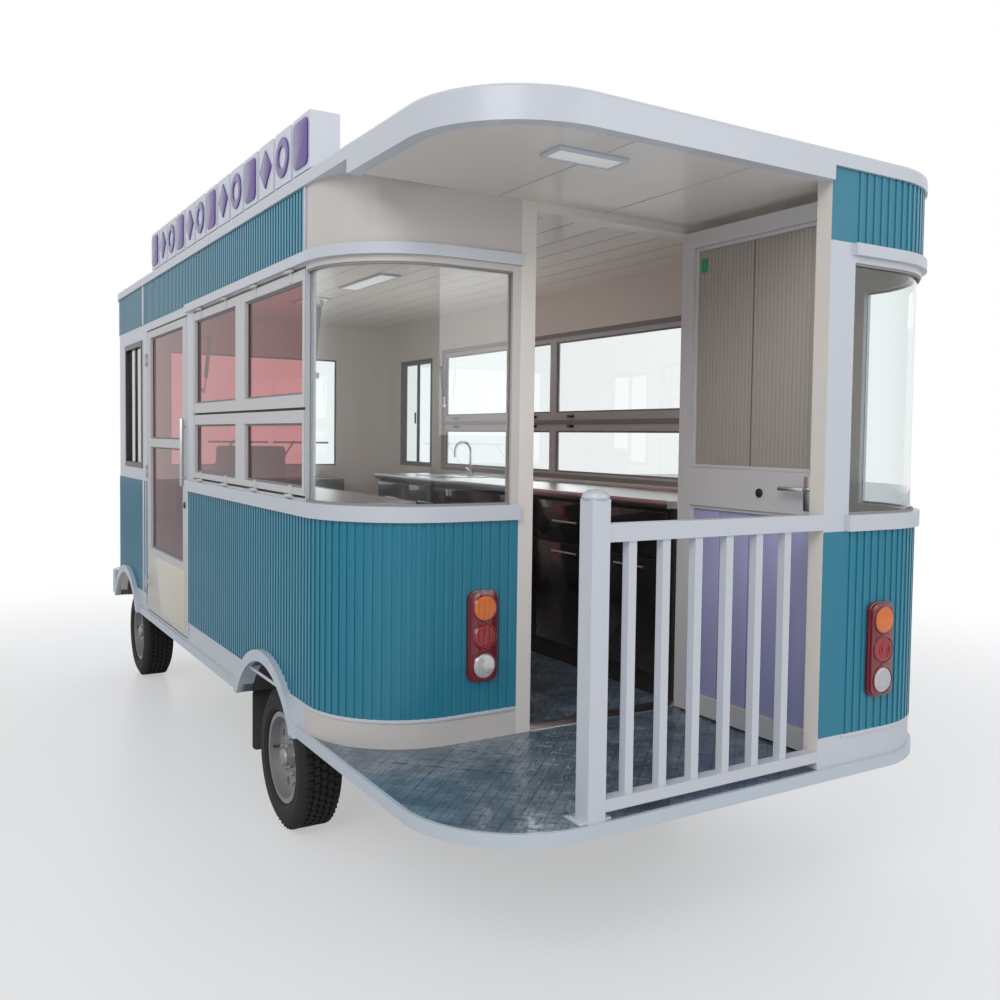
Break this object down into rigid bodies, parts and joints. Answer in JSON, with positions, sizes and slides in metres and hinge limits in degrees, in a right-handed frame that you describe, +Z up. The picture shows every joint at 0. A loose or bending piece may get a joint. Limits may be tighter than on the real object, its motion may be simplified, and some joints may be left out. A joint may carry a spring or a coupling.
{
  "type": "electric vending van with a rear porch",
  "caption": "Box-bodied electric vending van with ribbed cladding, glazed flaps, an entry door, an open rear porch with railing and door, and steered front wheels.",
  "frame": {"origin": "on the ground below the centre of the van's bounding box", "axes": "+X forward, +Y to the van's left, +Z up"},
  "size_m": [5.272, 2.028, 2.697],
  "materials": {
    "teal_cladding": "satin painted, fine vertical ribs",
    "white_panel": "satin painted",
    "aluminium_frame": "white powder coated aluminium",
    "ribbed_panel": "satin ribbed sheet",
    "glass": "clear",
    "black_frame": "satin",
    "strut_steel": "ground",
    "tread_plate": "raised tread pattern, dulled",
    "chassis_black": "matt",
    "lamp_red": "glossy lens",
    "lamp_clear": "glossy lens",
    "counter_dark": "gloss black doors",
    "worktop_steel": "brushed",
    "seat_vinyl": "vinyl",
    "control_black": "grained",
    "sign_purple": "purple faces, white returns",
    "tyre": "dusty rubber",
    "wheel_steel": "silver painted"
  },
  "bodies": {
    "van_body": {"arch_flares": "white_panel", "battery_box": "chassis_black", "body_ledges": "white_panel", "cab_walls": "teal_cladding", "cab_window_frames": "black_frame", "cab_window_glass": "glass", "cabin_rear_wall": "white_panel", "ceiling_panels": "white_panel", "chassis_frame": "chassis_black", "corner_glass": "glass", "counters": "counter_dark", "dashboard": "black_frame", "deck_edge": "white_panel", "driver_seat": "seat_vinyl", "floor_deck": "tread_plate", "front_axle": "chassis_black", "front_bumper": "white_panel", "front_wall": "teal_cladding", "headlamps": "lamp_clear", "hinge_halves": "aluminium_frame", "left_side_wall": "teal_cladding", "porch_railing": "white_panel", "rear_axle": "chassis_black", "rear_left_corner": "teal_cladding", "rear_right_corner": "teal_cladding", "right_side_wall": "teal_cladding", "roof": "white_panel", "roof_sign": "sign_purple", "steering_wheel": "control_black", "tail_lamps": "lamp_red", "wheel_housings": "chassis_black", "windscreen": "glass", "worktops": "worktop_steel"},
    "left_upper_flap": {"left_upper_flap": "aluminium_frame", "left_upper_flap_glass": "glass"},
    "left_lower_flap": {"left_lower_flap": "aluminium_frame", "left_lower_flap_glass": "glass"},
    "right_upper_flap": {"right_upper_flap": "aluminium_frame", "right_upper_flap_glass": "glass"},
    "right_lower_flap": {"right_lower_flap": "aluminium_frame", "right_lower_flap_glass": "glass"},
    "left_strut_tubes": {"left_strut_tubes": "black_frame"},
    "left_strut_rods": {"left_strut_rods": "strut_steel"},
    "right_strut_tubes": {"right_strut_tubes": "black_frame"},
    "right_strut_rods": {"right_strut_rods": "strut_steel"},
    "entry_door": {"entry_door": "aluminium_frame", "entry_door_glass": "glass"},
    "rear_door": {"rear_door_frame": "aluminium_frame", "rear_door_panels": "ribbed_panel"},
    "front_left_knuckle": {"front_left_knuckle": "chassis_black"},
    "front_right_knuckle": {"front_right_knuckle": "chassis_black"},
    "rear_left_wheel": {"rear_left_tyre": "tyre", "rear_left_rim": "wheel_steel"},
    "rear_right_wheel": {"rear_right_tyre": "tyre", "rear_right_rim": "wheel_steel"},
    "front_left_wheel": {"front_left_tyre": "tyre", "front_left_rim": "wheel_steel"},
    "front_right_wheel": {"front_right_tyre": "tyre", "front_right_rim": "wheel_steel"}
  },
  "joints": [
    {"name": "rear_left_wheel_spin", "type": "hinge", "parent": "van_body", "child": "rear_left_wheel", "pos_m": [-0.95, 0.852, 0.28], "axis": [0, 1, 0], "continuous": true},
    {"name": "rear_right_wheel_spin", "type": "hinge", "parent": "van_body", "child": "rear_right_wheel", "pos_m": [-0.95, -0.852, 0.28], "axis": [0, 1, 0], "continuous": true},
    {"name": "left_steer", "type": "hinge", "parent": "van_body", "child": "front_left_knuckle", "pos_m": [1.946, 0.78, 0.28], "axis": [0, 0, 1], "range_deg": [-30, 30]},
    {"name": "right_steer", "type": "hinge", "parent": "van_body", "child": "front_right_knuckle", "pos_m": [1.946, -0.78, 0.28], "axis": [0, 0, 1], "range_deg": [-30, 30]},
    {"name": "front_left_wheel_spin", "type": "hinge", "parent": "front_left_knuckle", "child": "front_left_wheel", "pos_m": [1.946, 0.852, 0.28], "axis": [0, 1, 0], "continuous": true},
    {"name": "front_right_wheel_spin", "type": "hinge", "parent": "front_right_knuckle", "child": "front_right_wheel", "pos_m": [1.946, -0.852, 0.28], "axis": [0, 1, 0], "continuous": true},
    {"name": "left_upper_flap_hinge", "type": "hinge", "parent": "van_body", "child": "left_upper_flap", "pos_m": [0, 0.996, 2.158], "axis": [1, 0, 0], "range_deg": [0, 80]},
    {"name": "left_lower_flap_hinge", "type": "hinge", "parent": "van_body", "child": "left_lower_flap", "pos_m": [0, 0.996, 1.342], "axis": [-1, 0, 0], "range_deg": [0, 90]},
    {"name": "left_strut_swing", "type": "hinge", "parent": "van_body", "child": "left_strut_tubes", "pos_m": [0, 0.918, 2.038], "axis": [1, 0, 0], "range_deg": [0, 86]},
    {"name": "left_strut_slide", "type": "slide", "parent": "left_strut_tubes", "child": "left_strut_rods", "axis": [0, 0.0881, -0.9961], "range_m": [0, 0.1827]},
    {"name": "right_upper_flap_hinge", "type": "hinge", "parent": "van_body", "child": "right_upper_flap", "pos_m": [0, -0.996, 2.158], "axis": [-1, 0, 0], "range_deg": [0, 80]},
    {"name": "right_lower_flap_hinge", "type": "hinge", "parent": "van_body", "child": "right_lower_flap", "pos_m": [0, -0.996, 1.342], "axis": [1, 0, 0], "range_deg": [0, 90]},
    {"name": "right_strut_swing", "type": "hinge", "parent": "van_body", "child": "right_strut_tubes", "pos_m": [0, -0.918, 2.038], "axis": [-1, 0, 0], "range_deg": [0, 86]},
    {"name": "right_strut_slide", "type": "slide", "parent": "right_strut_tubes", "child": "right_strut_rods", "axis": [0, -0.0881, -0.9961], "range_m": [0, 0.1827]},
    {"name": "entry_door_hinge", "type": "hinge", "parent": "van_body", "child": "entry_door", "pos_m": [1.359, 0.996, 1.34], "axis": [0, 0, -1], "range_deg": [0, 95]},
    {"name": "rear_door_hinge", "type": "hinge", "parent": "van_body", "child": "rear_door", "pos_m": [-1.8, -0.45, 1.44], "axis": [0, 0, -1], "range_deg": [0, 90]}
  ],
  "couplings": [
    {"joint": "right_steer", "follows": "left_steer", "ratio": 1},
    {"joint": "left_strut_swing", "follows": "left_upper_flap_hinge", "ratio": 1.0616},
    {"joint": "left_strut_slide", "follows": "left_upper_flap_hinge", "m_per_rad": 0.1301},
    {"joint": "right_strut_swing", "follows": "right_upper_flap_hinge", "ratio": 1.0616},
    {"joint": "right_strut_slide", "follows": "right_upper_flap_hinge", "m_per_rad": 0.1301}
  ]
}
